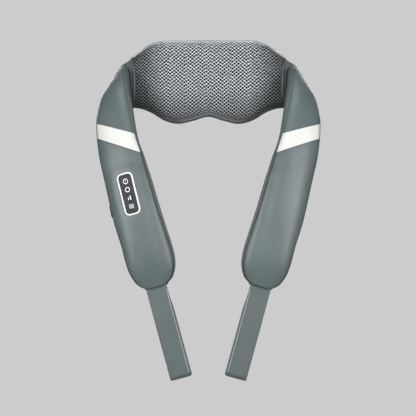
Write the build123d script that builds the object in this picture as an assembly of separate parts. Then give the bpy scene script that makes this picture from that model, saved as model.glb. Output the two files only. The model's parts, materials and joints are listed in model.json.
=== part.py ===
from build123d import *
import os
from math import atan, cos, degrees, pi, radians, sin, sqrt, tan

# Shiatsu neck massager, upright as it is worn. Millimetres, +Z up, the wearer's neck on the -Y side
# of the pillow, and the two arms coming forward over the shoulders (-Y) and down the chest.
# The origin is the middle of the mesh face, where the nape rests. "left" is the -X side.

os.makedirs("parts", exist_ok=True)
WRITTEN = []


def write(shape, node):
    """Write one sub-part, one node, one file."""
    export_step(shape, f"parts/{node}.step")
    WRITTEN.append(node)


def write_pair(shape, node):
    """Write a left-hand sub-part and its mirror image on the right."""
    write(shape, f"left_{node}")
    write(mirror(shape, about=Plane.YZ), f"right_{node}")


# ---------------------------------------------------------------- driving dimensions

LEATHER = 1.4                 # faux leather skin
MESH = 2.6                    # spacer mesh over the massage heads
SEAM_Y = 28.0                 # where the mesh face is sewn to the leather back of the pillow
PILLOW_END = 113.0            # half length of the pillow

# Pillow sections: distance from the middle, bottom, top, face and back of the section.
PILLOW_SECTIONS = [
    (0, -50, 58.5, 0, 80),
    (23, -56, 58.5, -3, 80),
    (46, -60.5, 58.5, -6, 80),
    (68, -55, 57.5, -4, 78),
    (86, -44.5, 53, 3, 71),
    (101, -39.5, 44, 11, 59),
    (PILLOW_END, -38, 35.5, 16, 48),
]

# Massage mechanism
TABLE_X = 48.0                # turntable axes, left and right of the middle
TABLE_Z = -4.0
TABLE_R = 36.0
TABLE_Y = (28.0, 31.5)        # front and back face of a turntable
BIG_HEAD = (14.0, 24.0, 6.5)  # dome radius, distance from the axis, Y of its tip
SMALL_HEAD = (9.5, 24.0, 11.0)
SHAFT_R = 4.0
RUNNING = 0.05                # radial clearance of a shaft in its bush
HOUSING_HALF = 84.0
HOUSING_Z = (-45.0, 48.0)
HOUSING_Y = (34.0, 36.5, 68.0, 70.5)   # front plate, then inner and outer face of the back
HOUSING_CORNER = 24.0
WALL = 2.5

# Worm drive: one double-ended motor turns both wheels, opposite ways
MODULE = 1.25
WHEEL_TEETH = 48
WHEEL_Y = (48.0, 56.0)
WORM_R = 6.0
WORM_LENGTH = 20.0
PRESSURE_ANGLE = 20.0
FLANK_GAP = 0.15
MOTOR_R = 13.0
MOTOR_HALF = 19.0
MOTOR_SHAFT_R = 2.0
DRIVE_HALF = 68.0             # half length of the worm shaft

PITCH = pi * MODULE
WHEEL_R = MODULE * WHEEL_TEETH / 2
LEAD_ANGLE = degrees(atan(PITCH / (2 * pi * WORM_R)))
WORM_Y = sum(WHEEL_Y) / 2
WORM_Z = TABLE_Z + WHEEL_R + WORM_R

# Left arm sections, from the pillow's end to the tip: outer edge, inner edge, thickness,
# and how far the outer face rises above the line between the edges.
ARM_SECTIONS = [
    ((-PILLOW_END - 0.4, 32, -38), (-PILLOW_END - 0.4, 32, 35), 32, 16),
    ((-130, 29, -41), (-125, 24, 29), 27, 17),
    ((-143, 13, -43), (-120, 3, 16), 24, 17.5),
    ((-154, -6, -47), (-116, -18, -6), 23, 17.5),
    ((-159, -20, -55), (-112, -42, -41), 23, 16),
    ((-160, -33, -67), (-105.5, -64, -82), 24, 14),
    ((-158.5, -46, -89), (-94.6, -81, -110.4), 25, 13),
    ((-154, -56, -119), (-87.3, -86, -128.8), 26, 13),
    ((-146, -65, -152), (-80.2, -89, -148.5), 27, 13.5),
    ((-133.5, -72, -206), (-69.5, -91, -187.6), 28, 14),
    ((-122.5, -78, -241), (-58.5, -88, -221.1), 28, 14),
    ((-115.5, -80, -266.7), (-50.6, -86, -246.4), 26, 13),
    ((-109, -80, -283), (-47.8, -84, -266), 21, 10.5),
    ((-99.3, -79, -296), (-51, -81, -283), 14, 7),
    ((-87.3, -80, -301.8), (-59.5, -80, -294.2), 8, 4),
]
BAND_TOP, BAND_BOTTOM = 5, 6  # sections at the edges of the white accent band
TIP = len(ARM_SECTIONS) - 1
SEAM_INSET = 5.0              # from the arm's edge to the seam round its front panel
STIFFENER = 1.6               # springy sheet that keeps the arm's shape
JOINT_GAP = 0.4               # between soft parts of two bodies

# Hand loop below each arm
STRAP_WIDTH = 28.7
STRAP_DROP = 131.0
STRAP_PLY = 1.8
STRAP_START = 1.6             # below the arm's tip, room to swing
STRAP_GAP = 10.0              # between the two plies
STRAP_THROAT = 22.0           # length over which the plies spread

# Control module in the left arm
PANEL = (60.0, 23.6, 7.0)     # bezel length, width and corner radius
PANEL_BORDER = 1.8
PANEL_CENTRE = 2.0            # from the arm's centre line towards its inner edge
PANEL_TURN = 7.5              # degrees that the panel leans from the arm's sections
BUTTON_PITCH = 12.0
BUTTON_R = 4.7
BUTTON_GAP = 0.3
BUTTON_TRAVEL = 0.8
PORT_OPENING = (8.94, 3.26)   # USB-C


# ---------------------------------------------------------------- pillow

def pillow_section(x, bottom, top, face, back, inset):
    """Rounded section of the pillow in the plane at x, its flats slightly crowned."""
    depth = back - face
    front_r = min(16, 0.36 * depth) - inset
    back_r = min(27, 0.52 * depth) - inset
    y0, y1, z0, z1 = face + inset, back - inset, bottom + inset, top - inset
    middle = (z0 + z1) / 2
    slant = 1 - sqrt(0.5)
    corners = [
        ((y0, z0 + front_r), (y0 - 3, middle), (y0, z1 - front_r)),
        ((y0, z1 - front_r), (y0 + front_r * slant, z1 - front_r * slant), (y0 + front_r, z1)),
        ((y0 + front_r, z1), None, (y1 - back_r, z1)),
        ((y1 - back_r, z1), (y1 - back_r * slant, z1 - back_r * slant), (y1, z1 - back_r)),
        ((y1, z1 - back_r), None, (y1, z0 + back_r)),
        ((y1, z0 + back_r), (y1 - back_r * slant, z0 + back_r * slant), (y1 - back_r, z0)),
        ((y1 - back_r, z0), None, (y0 + front_r, z0)),
        ((y0 + front_r, z0), (y0 + front_r * slant, z0 + front_r * slant), (y0, z0 + front_r)),
    ]
    edges = []
    for start, through, end in corners:
        a, b = Vector(x, *start), Vector(x, *end)
        if through is None:
            edges.append(Edge.make_line(a, b))
        else:
            edges.append(Edge.make_three_point_arc(a, Vector(x, *through), b))
    return Wire(edges)


def pillow_solid(inset, end_inset):
    """The pillow's outer form, or the same form drawn in by inset."""
    sections = []
    for x, *rest in PILLOW_SECTIONS:
        sections.append((x if x < PILLOW_END else PILLOW_END - end_inset, *rest))
    both = [(-s[0], *s[1:]) for s in reversed(sections[1:])] + sections
    return Solid.make_loft([pillow_section(*s, inset) for s in both], False)


def disc(radius, y0, y1, x=0.0, z=0.0):
    """Cylinder along Y between y0 and y1."""
    return Pos(x, (y0 + y1) / 2, z) * Rot(90, 0, 0) * Cylinder(radius, y1 - y0)


def rod(radius, x0, x1, y, z):
    """Cylinder along X between x0 and x1."""
    return Pos((x0 + x1) / 2, y, z) * Rot(0, 90, 0) * Cylinder(radius, x1 - x0)


def housing_block(y0, y1, shrink):
    """Rounded block of the housing's outline between y0 and y1, drawn in by shrink."""
    width = 2 * (HOUSING_HALF - shrink)
    height = HOUSING_Z[1] - HOUSING_Z[0] - 2 * shrink
    outline = RectangleRounded(width, height, HOUSING_CORNER - shrink)
    centre = Vector(0, y1, sum(HOUSING_Z) / 2)
    return extrude(Plane(centre, x_dir=(1, 0, 0), z_dir=(0, -1, 0)) * outline, y1 - y0)


SCREW_PLACES = [(-71, -34), (0, -36), (71, -34), (-28, 41.5), (28, 41.5)]
SCREW_R = 1.5
SCREW_END_Y = 48.0

half_space_front = Box(400, 200, 400, align=(Align.CENTER, Align.MAX, Align.CENTER))
half_space_front = Pos(0, SEAM_Y, 0) * half_space_front
outer_form = pillow_solid(0, 0)
leather_inner = pillow_solid(LEATHER, LEATHER)
mesh_inner = pillow_solid(MESH, LEATHER)
pillow_rear_cover = outer_form - leather_inner - half_space_front
pillow_mesh_cover = (outer_form - mesh_inner) & half_space_front
write(pillow_rear_cover, "pillow_rear_cover")
write(pillow_mesh_cover, "pillow_mesh_cover")

table_wells = [disc(TABLE_R + 5, -40, HOUSING_Y[0], side * TABLE_X, TABLE_Z) for side in (-1, 1)]
foam_surround = pillow_solid(MESH + 0.1, LEATHER + 0.1)
foam_surround -= housing_block(HOUSING_Y[0] - 2, HOUSING_Y[3] + 0.2, -0.2)
for well in table_wells:
    foam_surround -= well
write(foam_surround, "pillow_foam_surround")


# ---------------------------------------------------------------- housing

front_bush_outer = 7.0
rear_boss_outer = 9.0
plate = housing_block(HOUSING_Y[0], HOUSING_Y[1], 0)
for side in (-1, 1):
    plate -= disc(front_bush_outer, 20, 50, side * TABLE_X, TABLE_Z)
for x, z in SCREW_PLACES:
    plate -= disc(SCREW_R, 20, 50, x, z)
write(plate, "housing_front_plate")

shell = housing_block(HOUSING_Y[1], HOUSING_Y[3], 0)
back_edges = shell.edges().filter_by(lambda e: abs(e.center().Y - HOUSING_Y[3]) < 0.01)
shell = fillet(back_edges, 9)
hollow = housing_block(HOUSING_Y[1], HOUSING_Y[2], WALL)
hollow_edges = hollow.edges().filter_by(lambda e: abs(e.center().Y - HOUSING_Y[2]) < 0.01)
hollow = fillet(hollow_edges, 6.5)
shell -= hollow
for x, z in SCREW_PLACES:
    shell += disc(3.2, HOUSING_Y[1], HOUSING_Y[2] + 0.5, x, z)
    shell -= disc(SCREW_R, HOUSING_Y[1] - 1, SCREW_END_Y + 1, x, z)
for side in (-1, 1):
    shell += disc(rear_boss_outer, 62, HOUSING_Y[2] + 0.5, side * TABLE_X, TABLE_Z)
    shell -= disc(front_bush_outer, 61, HOUSING_Y[2], side * TABLE_X, TABLE_Z)
write(shell, "housing_rear_shell")

screws = []
for x, z in SCREW_PLACES:
    shank = disc(SCREW_R, HOUSING_Y[0], SCREW_END_Y, x, z)
    head = disc(2.8, HOUSING_Y[0] - 1.6, HOUSING_Y[0], x, z)
    cross = Pos(x, HOUSING_Y[0] - 1.6, z) * (Box(3, 1.4, 0.6) + Box(0.6, 1.4, 3))
    screws.append(shank + head - cross)
write(Compound(children=screws), "housing_screws")

film = housing_block(HOUSING_Y[0] - 0.6, HOUSING_Y[0], 2)
for side in (-1, 1):
    film -= disc(12, 20, 50, side * TABLE_X, TABLE_Z)
for x, z in SCREW_PLACES:
    film -= disc(3.4, 20, 50, x, z)
write(film, "heating_film")

bushes = []
for side in (-1, 1):
    for y0, y1 in ((HOUSING_Y[0] - 0.6, HOUSING_Y[1] + 3), (62.5, HOUSING_Y[2])):
        ring = disc(front_bush_outer, y0, y1, side * TABLE_X, TABLE_Z)
        bushes.append(ring - disc(SHAFT_R + RUNNING, y0 - 1, y1 + 1, side * TABLE_X, TABLE_Z))
write(Compound(children=bushes), "turntable_bushes")


# ---------------------------------------------------------------- turntables and heads

def around_table(shape, angle):
    """Turn a shape that is drawn at the table's axis, then move it to the left axis."""
    return Pos(-TABLE_X, 0, TABLE_Z) * Rot(0, angle, 0) * shape


def massage_head(radius, reach, tip):
    """Domed head standing on the turntable's face."""
    centre_y = tip + radius
    dome = Pos(reach, centre_y, 0) * Sphere(radius)
    stem = disc(radius, centre_y, TABLE_Y[0], reach)
    return (dome & disc(radius + 1, tip - 1, centre_y, reach)) + stem


table = disc(TABLE_R, *TABLE_Y)
table -= disc(SHAFT_R, 0, 60)
table = chamfer(table.edges().filter_by(GeomType.CIRCLE).sort_by(Axis.Y)[0], 1.0)
for hole in range(6):
    table -= Rot(0, 60 * hole + 35, 0) * disc(2.2, TABLE_Y[0] - 1, TABLE_Y[1] + 1, x=32)
write_pair(around_table(table, 0), "turntable")

heads = []
for turn in range(2):
    heads.append(around_table(massage_head(*BIG_HEAD), 20 + 180 * turn))
    heads.append(around_table(massage_head(*SMALL_HEAD), 110 + 180 * turn))
write_pair(Compound(children=heads), "massage_heads")

output_shaft = disc(SHAFT_R, TABLE_Y[0], HOUSING_Y[2] - 0.5, -TABLE_X, TABLE_Z)
write_pair(output_shaft, "output_shaft")


# ---------------------------------------------------------------- worm drive

def involute_point(base_r, radius, start):
    """Point of an involute at a radius, start being its angle on the base circle."""
    roll = sqrt(max((radius / base_r) ** 2 - 1, 0))
    angle = start + roll - atan(roll)
    return Vector(radius * cos(angle), radius * sin(angle))


def wheel_outline():
    """Transverse outline of the worm wheel, with a tooth gap centred on +Y of the sketch."""
    base_r = WHEEL_R * cos(radians(PRESSURE_ANGLE))
    tip_r = WHEEL_R + MODULE
    root_r = WHEEL_R - 1.25 * MODULE
    spread = tan(radians(PRESSURE_ANGLE)) - radians(PRESSURE_ANGLE)
    half_tooth = (PITCH / 2 - FLANK_GAP) / 2 / WHEEL_R
    radii = [root_r, WHEEL_R, tip_r]
    edges = []
    previous = None
    first = None
    for tooth in range(WHEEL_TEETH):
        middle = pi / 2 + (tooth + 0.5) * 2 * pi / WHEEL_TEETH
        rising = [involute_point(base_r, r, -half_tooth - spread) for r in radii]
        falling = [Vector(p.X, -p.Y) for p in reversed(rising)]
        points = [p.rotate(Axis.Z, degrees(middle)) for p in rising + falling]
        if previous is None:
            first = points[0]
        else:
            edges.append(Edge.make_line(previous, points[0]))
        edges.append(Edge.make_three_point_arc(*points[:3]))
        edges.append(Edge.make_line(points[2], points[3]))
        edges.append(Edge.make_three_point_arc(*points[3:]))
        previous = points[-1]
    edges.append(Edge.make_line(previous, first))
    return Face(Wire(edges))


def worm_wheel():
    """Helical wheel about Y, its teeth slanted by the worm's lead angle."""
    width = WHEEL_Y[1] - WHEEL_Y[0]
    twist = degrees(width * tan(radians(LEAD_ANGLE)) / WHEEL_R)
    sections = []
    for step in (-1, 0, 1):
        # A sketch in the plane that looks along -Y has +Y of the sketch pointing up.
        plane = Plane((0, WORM_Y + step * width / 2, 0), x_dir=(1, 0, 0), z_dir=(0, -1, 0))
        sections.append(Rot(0, step * twist / 2, 0) * (plane * wheel_outline()).outer_wire())
    gear = Solid.make_loft(sections, True)
    hub = disc(9, WHEEL_Y[0] - 4, WHEEL_Y[1] + 3)
    gear = gear + hub - disc(SHAFT_R, 20, 80)
    for hole in range(6):
        gear -= Rot(0, 60 * hole, 0) * disc(5, 40, 60, x=18)
    return gear


write_pair(Pos(-TABLE_X, 0, TABLE_Z) * worm_wheel(), "worm_wheel")


def worm():
    """Right-hand worm about X, centred on x = 0, a thread crossing straight below its axis there."""
    outer_r = WORM_R + 0.92 * MODULE
    root_r = WORM_R - 1.2 * MODULE
    slope = tan(radians(PRESSURE_ANGLE))
    at_pitch = (PITCH / 2 - FLANK_GAP) / 2
    turns = int(WORM_LENGTH / PITCH) + 2
    length = turns * PITCH
    sunk_r = root_r - 0.3
    profile = [
        (sunk_r, at_pitch + (WORM_R - sunk_r) * slope),
        (outer_r, at_pitch - (outer_r - WORM_R) * slope),
        (outer_r, -at_pitch + (outer_r - WORM_R) * slope),
        (sunk_r, -at_pitch - (WORM_R - sunk_r) * slope),
    ]
    tooth = Face(Wire.make_polygon([Vector(r, 0, z) for r, z in profile], close=True))
    path = Helix(PITCH, length, WORM_R)
    thread = Solid.sweep(tooth, path, is_frenet=True)
    body = thread + Pos(0, 0, length / 2) * Cylinder(root_r, length)
    trim = Pos(0, 0, length / 2) * Cylinder(outer_r + 1, WORM_LENGTH)
    body = (body & trim) - Pos(0, 0, length / 2) * Cylinder(MOTOR_SHAFT_R, length)
    half_turn = 180 * (turns % 2)
    body = Pos(0, 0, -length / 2) * body
    return Rot(0, 90, 0) * Rot(0, 0, half_turn) * body


write_pair(Pos(-TABLE_X, WORM_Y, WORM_Z) * worm(), "worm")
write(rod(MOTOR_SHAFT_R, -DRIVE_HALF, DRIVE_HALF, WORM_Y, WORM_Z), "worm_shaft")

supports = []
for side in (-1, 1):
    ends = sorted((side * (DRIVE_HALF - 5), side * (DRIVE_HALF + 1)))
    block = rod(5, *ends, WORM_Y, WORM_Z)
    foot = Pos(side * (DRIVE_HALF - 2), (WORM_Y + HOUSING_Y[2]) / 2, WORM_Z)
    block += foot * Box(6, HOUSING_Y[2] - WORM_Y, 5)
    supports.append(block - rod(MOTOR_SHAFT_R + RUNNING, -90, 90, WORM_Y, WORM_Z))
write(Compound(children=supports), "worm_shaft_supports")


# ---------------------------------------------------------------- motor

can = rod(MOTOR_R, -MOTOR_HALF, MOTOR_HALF - 2, WORM_Y, WORM_Z)
can -= rod(MOTOR_R - 1, -MOTOR_HALF + 1.5, MOTOR_HALF, WORM_Y, WORM_Z)
can -= rod(MOTOR_SHAFT_R + RUNNING, -90, 90, WORM_Y, WORM_Z)
write(can, "motor_can")
end_bell = rod(MOTOR_R, MOTOR_HALF - 2, MOTOR_HALF, WORM_Y, WORM_Z)
end_bell += rod(4, MOTOR_HALF, MOTOR_HALF + 2, WORM_Y, WORM_Z)
end_bell -= rod(MOTOR_SHAFT_R + RUNNING, -90, 90, WORM_Y, WORM_Z)
write(end_bell, "motor_end_bell")

ring = rod(MOTOR_R - 1, -12, 12, WORM_Y, WORM_Z) - rod(MOTOR_R - 2.8, -13, 13, WORM_Y, WORM_Z)
magnets = ring - Pos(0, WORM_Y, WORM_Z) * Box(40, 8, 40)
write(magnets, "motor_magnets")

armature = rod(MOTOR_R - 3.3, -11, 11, WORM_Y, WORM_Z)
for pole in range(5):
    slot = Pos(0, 0, MOTOR_R - 5) * Box(30, 2.2, 6)
    armature -= Pos(0, WORM_Y, WORM_Z) * Rot(72 * pole, 0, 0) * slot
armature -= rod(MOTOR_SHAFT_R, -90, 90, WORM_Y, WORM_Z)
write(armature, "motor_armature")

clamp = rod(MOTOR_R + 1.2, -5, 5, WORM_Y, WORM_Z) - rod(MOTOR_R, -6, 6, WORM_Y, WORM_Z)
clamp -= Pos(0, WORM_Y + 20, WORM_Z) * Box(20, 40, 40)
clamp -= Pos(0, WORM_Y, WORM_Z + 29) * Box(20, 40, 40)
clamp += Pos(0, (WORM_Y + HOUSING_Y[2]) / 2, WORM_Z - MOTOR_R - 0.6) * Box(10, HOUSING_Y[2] - WORM_Y, 1.2)
write(clamp, "motor_clamp")

battery = Pos(0, 62, -8) * Box(60, 9, 44)
battery = fillet(battery.edges().filter_by(Axis.Z), 2.5)
write(battery, "battery_pack")
board = Pos(-69, 60.8, -4) * Box(20, 1.6, 50)
chips = [Pos(-69, 59.4, z) * Box(w, 1.2, h) for z, w, h in ((-18, 9, 9), (0, 12, 7), (13, 6, 6))]
write(Compound(children=[board] + chips), "main_circuit_board")


# ---------------------------------------------------------------- arms

def arm_frame(index):
    """Centre, width direction, outward normal, half width, thickness and rise of a section."""
    outer, inner, thick, rise = ARM_SECTIONS[index]
    outer, inner = Vector(*outer), Vector(*inner)
    centre = (outer + inner) / 2
    span = inner - outer
    middles = []
    for near in (max(index - 1, 0), min(index + 1, TIP)):
        a, b = ARM_SECTIONS[near][:2]
        middles.append((Vector(*a) + Vector(*b)) / 2)
    along = (middles[1] - middles[0]).normalized() if index else Vector(-1, 0, 0)
    across = span.normalized()
    normal = along.cross(across).normalized()
    return centre, across, normal, span.length / 2, thick, rise


def arm_outline(index, inset):
    """The eight points of a section: front seam, front crown, seam, side, seam, back, seam, side."""
    _, _, _, half, thick, rise = arm_frame(index)
    edge = min(SEAM_INSET, 0.3 * half)
    shoulder = 0.27 * thick - 0.7 * inset
    flat = half - edge
    return [
        (-flat, shoulder), (0, rise - inset), (flat, shoulder), (half - inset, 0),
        (flat, -shoulder), (0, rise - thick + inset), (-flat, -shoulder), (-half + inset, 0),
    ]


def arm_wire(index, path, shift=0.0):
    """Closed wire of a section, moved down the arm by shift. Three points (w, n) make an arc."""
    centre, across, normal = arm_frame(index)[:3]
    along = across.cross(normal)
    centre += along * shift

    edges = []
    for piece in path:
        points = [centre + across * w + normal * n for w, n in piece]
        if len(points) == 3:
            edges.append(Edge.make_three_point_arc(*points))
        else:
            edges.append(Edge.make_line(*points))
    return Wire(edges)


def front_panel(index):
    """Skin between the two seams on the front."""
    o, i = arm_outline(index, 0), arm_outline(index, LEATHER)
    return [(o[0], o[1], o[2]), (o[2], i[2]), (i[2], i[1], i[0]), (i[0], o[0])]


def lining(index):
    """Skin from one seam round the side, the back and the other side to the other seam."""
    o, i = arm_outline(index, 0), arm_outline(index, LEATHER)
    return [
        (o[2], o[3], o[4]), (o[4], o[5], o[6]), (o[6], o[7], o[0]), (o[0], i[0]),
        (i[0], i[7], i[6]), (i[6], i[5], i[4]), (i[4], i[3], i[2]), (i[2], o[2]),
    ]


def core(index):
    """Foam inside the skins, its back set in to leave room for the stiffener."""
    i = arm_outline(index, LEATHER + 0.1)
    lifted = (0, i[5][1] + 1.5 * STIFFENER)
    return [(i[0], i[1], i[2]), (i[2], i[3], i[4]), (i[4], lifted, i[6]), (i[6], i[7], i[0])]


def stiffener(index):
    """Strip against the middle half of the back."""
    i = arm_outline(index, LEATHER + 0.15)
    middle, reach = i[5][1], i[4][0] / 2
    side = middle + (i[4][1] - middle) / 4
    thick = STIFFENER
    return [
        ((-reach, side), (0, middle), (reach, side)), ((reach, side), (reach, side + thick)),
        ((reach, side + thick), (0, middle + thick), (-reach, side + thick)),
        ((-reach, side + thick), (-reach, side)),
    ]


def arm_loft(shape, first, last, shift=0.0):
    """Loft a section shape along the arm, its first section moved down the arm by shift."""
    wires = [arm_wire(k, shape(k), shift if k == first else 0.0) for k in range(first, last + 1)]
    return Solid.make_loft(wires, True)


def arm_point(place, across=0.0, out=0.0):
    """Frame at a fractional section number: the point and the unit axes W, up the arm, and N."""
    low = int(place)
    share = place - low
    frames = [arm_frame(low), arm_frame(min(low + 1, TIP))]
    centre, w, n = [frames[0][k] * (1 - share) + frames[1][k] * share for k in range(3)]
    w = w.normalized()
    n = (n - w * n.dot(w)).normalized()
    return centre + w * across + n * out, w, n


def crown_height(place, across):
    """Height of the front crown above the line between the edges."""
    low = int(place)
    heights = []
    for index in (low, low + 1):
        seam, top = arm_outline(index, 0)[:2]
        heights.append(top[1] + (seam[1] - top[1]) * (across / seam[0]) ** 2)
    share = place - low
    return heights[0] * (1 - share) + heights[1] * share


shoulder_cover = arm_loft(front_panel, 0, BAND_TOP)
accent_band = arm_loft(front_panel, BAND_TOP, BAND_BOTTOM)
shoulder_lining = arm_loft(lining, 0, BAND_BOTTOM)
shoulder_foam = arm_loft(core, 1, BAND_BOTTOM)
arm_cover = arm_loft(front_panel, BAND_BOTTOM, TIP, JOINT_GAP)
arm_lining = arm_loft(lining, BAND_BOTTOM, TIP, JOINT_GAP)
arm_foam = arm_loft(core, BAND_BOTTOM + 1, TIP - 1)
arm_stiffener = arm_loft(stiffener, BAND_BOTTOM + 1, TIP - 2)
write_pair(shoulder_cover, "shoulder_cover")
write_pair(accent_band, "accent_band")
write_pair(shoulder_lining, "shoulder_lining")
write_pair(shoulder_foam, "shoulder_foam")
write_pair(arm_stiffener, "arm_stiffener")


# ---------------------------------------------------------------- hand loops

tip_centre, tip_across, tip_normal = arm_frame(TIP)[:3]
tip_along = tip_across.cross(tip_normal)
tip_plane = Plane(tip_centre, x_dir=tip_along, z_dir=tip_across)   # x down, y outwards, z across
tab = Pos(-4.2, 0, 0) * Box(7, 2.2, 0.6 * STRAP_WIDTH)
write_pair(tip_plane * tab, "strap_tab")


def strap_side(half_width, start, start_half):
    """Long teardrop outline, open ply spacing half_width, its throat starting at start."""
    end = STRAP_DROP - half_width
    with BuildSketch(Plane.XY) as sketch:
        with BuildLine():
            down = Polyline((start, start_half), (STRAP_THROAT, half_width), (end, half_width))
            turn = ThreePointArc(down @ 1, (end + half_width, 0), (end, -half_width))
            Polyline(turn @ 1, (STRAP_THROAT, -half_width), (start, -start_half))
            if start_half > 0:
                Line((start, -start_half), (start, start_half))
        make_face()
    return sketch.sketch


def hand_loop():
    """Webbing folded into a loop, its two plies stitched together at the top."""
    outer = strap_side(STRAP_GAP / 2 + STRAP_PLY, 0, STRAP_PLY)
    inner = strap_side(STRAP_GAP / 2, 7, 0)
    inner = Pos(-STRAP_PLY, 0, 0) * inner
    loop = extrude(outer - inner, STRAP_WIDTH / 2, both=True)
    return Pos(STRAP_START, 0, 0) * loop


write_pair(tip_plane * hand_loop(), "hand_loop")


# ---------------------------------------------------------------- control module, left arm

PANEL_PLACE = 8.39            # between sections 8 and 9
height = crown_height(PANEL_PLACE, PANEL_CENTRE)
panel_origin, panel_across, panel_normal = arm_point(PANEL_PLACE, PANEL_CENTRE, height)
panel_across = panel_across.rotate(Axis((0, 0, 0), tuple(panel_normal)), PANEL_TURN)
panel = Plane(panel_origin, x_dir=panel_across, z_dir=panel_normal)   # x inwards, y up, z out


def slab(length, width, corner, z0, z1):
    """Rounded plate along the panel's length, from z0 to z1."""
    return Pos(0, 0, z0) * extrude(RectangleRounded(width, length, corner), z1 - z0)


LENGTH, WIDTH, CORNER = PANEL
inner_length, inner_width = LENGTH - 2 * PANEL_BORDER, WIDTH - 2 * PANEL_BORDER
inner_corner = CORNER - PANEL_BORDER
BEZEL_TOP, PLATE_TOP, PLATE_BOTTOM = 0.9, 0.4, -1.0
TRAY_BOTTOM = -8.6
TRAY_WALL = 1.2
BOARD_TOP = -5.0
BOARD_THICK = 1.2
SWITCH_TOP = -4.0
button_places = [BUTTON_PITCH * k for k in (1.5, 0.5, -0.5, -1.5)]
button_names = ["power_button", "massage_mode_button", "intensity_button", "heat_button"]

bezel = slab(LENGTH, WIDTH, CORNER, -3.2, BEZEL_TOP)
bezel = fillet(bezel.edges().group_by(Axis.Z)[-1], 0.6)
bezel -= slab(inner_length, inner_width, inner_corner, -4, 2)
write(panel * bezel, "control_bezel")

faceplate = slab(inner_length, inner_width, inner_corner, PLATE_BOTTOM, PLATE_TOP)
for y in button_places:
    faceplate -= Pos(0, y, 0) * Cylinder(BUTTON_R + BUTTON_GAP, 6)
write(panel * faceplate, "control_faceplate")

for name, y in zip(button_names, button_places):
    cap = Pos(0, y, -0.7) * Cylinder(BUTTON_R, 2.6)
    cap = fillet(cap.edges().group_by(Axis.Z)[-1], 0.4)
    flange = Pos(0, y, -2.0) * Cylinder(BUTTON_R + 0.8, 0.8)
    stem = Pos(0, y, -2.7) * Cylinder(1.6, 0.8)
    write(panel * (cap + flange + stem), name)

board = slab(inner_length - 2 * TRAY_WALL - 1, inner_width - 2 * TRAY_WALL - 1, 3,
             BOARD_TOP - BOARD_THICK, BOARD_TOP)
control_screw_places = [25.0, -25.0]
for y in control_screw_places:
    board -= Pos(0, y, BOARD_TOP) * Cylinder(1.1, 6)
switches = [Pos(0, y, (BOARD_TOP + SWITCH_TOP) / 2) * Box(5, 5, SWITCH_TOP - BOARD_TOP)
            for y in button_places]
write(panel * Compound(children=[board] + switches), "control_circuit_board")

tray = slab(inner_length, inner_width, inner_corner, TRAY_BOTTOM, PLATE_BOTTOM)
tray -= slab(inner_length - 2 * TRAY_WALL, inner_width - 2 * TRAY_WALL,
             inner_corner - TRAY_WALL, TRAY_BOTTOM + TRAY_WALL, 0)
control_screws = []
for y in control_screw_places:
    floor = TRAY_BOTTOM + TRAY_WALL
    post = Pos(0, y, (floor + BOARD_TOP - BOARD_THICK) / 2)
    tray += post * Cylinder(2.2, BOARD_TOP - BOARD_THICK - floor)
    tray -= Pos(0, y, BOARD_TOP) * Cylinder(1.0, 2 * (BOARD_TOP - floor))
    shank = Pos(0, y, (floor + BOARD_TOP) / 2) * Cylinder(1.0, BOARD_TOP - floor)
    head = Pos(0, y, BOARD_TOP + 0.45) * Cylinder(1.9, 0.9)
    slot = Pos(0, y, BOARD_TOP + 0.8) * Box(2.6, 0.5, 0.5)
    control_screws.append(panel * (shank + head - slot))
write(panel * tray, "control_tray")
write(Compound(children=control_screws), "control_screws")

pocket = slab(LENGTH + 0.1, WIDTH + 0.1, CORNER, -3.3, 20)
pocket += slab(inner_length + 0.2, inner_width + 0.2, inner_corner, TRAY_BOTTOM - 0.1, 0)
pocket = panel * pocket


# ---------------------------------------------------------------- charging port, left arm

PORT_PLACE = 8.75
PORT_DEPTH = 7.4
PORT_SHELL = 0.45
PORT_FACE = (17.0, 8.4, 3.0)  # length, height and corner radius of its bezel
half_here = arm_frame(8)[3] * 0.25 + arm_frame(9)[3] * 0.75
port_origin, port_across, port_normal = arm_point(PORT_PLACE, -half_here)
port_up = port_normal.cross(port_across)
port = Plane(port_origin, x_dir=port_up, z_dir=port_across * -1)     # x up the arm, z out


def port_slab(length, height, corner, z0, z1):
    """Rounded plate about the port's axis, from z0 to z1."""
    return Pos(0, 0, z0) * extrude(RectangleRounded(length, height, corner), z1 - z0)


opening_w, opening_h = PORT_OPENING
shell_w, shell_h = opening_w + 2 * PORT_SHELL, opening_h + 2 * PORT_SHELL
receptacle = port_slab(shell_w, shell_h, shell_h / 2 - 0.05, -PORT_DEPTH, 0)
receptacle -= port_slab(opening_w, opening_h, opening_h / 2 - 0.05, 1 - PORT_DEPTH, 1)
receptacle += Pos(0, 0, -3.9) * Box(6.7, 0.7, 5.2)
write(port * receptacle, "charging_port")
port_bezel = port_slab(*PORT_FACE, -3.6, 0.3)
port_bezel = fillet(port_bezel.edges().group_by(Axis.Z)[-1], 0.5)
port_bezel -= port_slab(shell_w, shell_h, shell_h / 2 - 0.05, -5, 2)
write(port * port_bezel, "charging_port_bezel")
length, high, corner = PORT_FACE
port_pocket = port_slab(length + 0.1, high + 0.1, corner, -3.7, 4)
port_pocket += port_slab(shell_w + 0.2, shell_h + 0.2, 1.5, -PORT_DEPTH - 0.1, 0)
port_pocket = port * port_pocket

write(arm_cover - pocket - port_pocket, "left_arm_cover")
write(arm_lining - port_pocket, "left_arm_lining")
write(arm_foam - pocket - port_pocket, "left_arm_foam")
for shape, node in ((arm_cover, "arm_cover"), (arm_lining, "arm_lining"), (arm_foam, "arm_foam")):
    write(mirror(shape, about=Plane.YZ), f"right_{node}")

print(len(WRITTEN), "nodes")
for label, frame in (("panel", panel), ("port", port), ("tip", tip_plane)):
    print(label, frame.origin, "x", frame.x_dir, "z", frame.z_dir)
flex_centre, flex_across, _ = arm_point(BAND_BOTTOM + 0.5)
print("flex", flex_centre, flex_across)
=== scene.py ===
import json
import math

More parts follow.
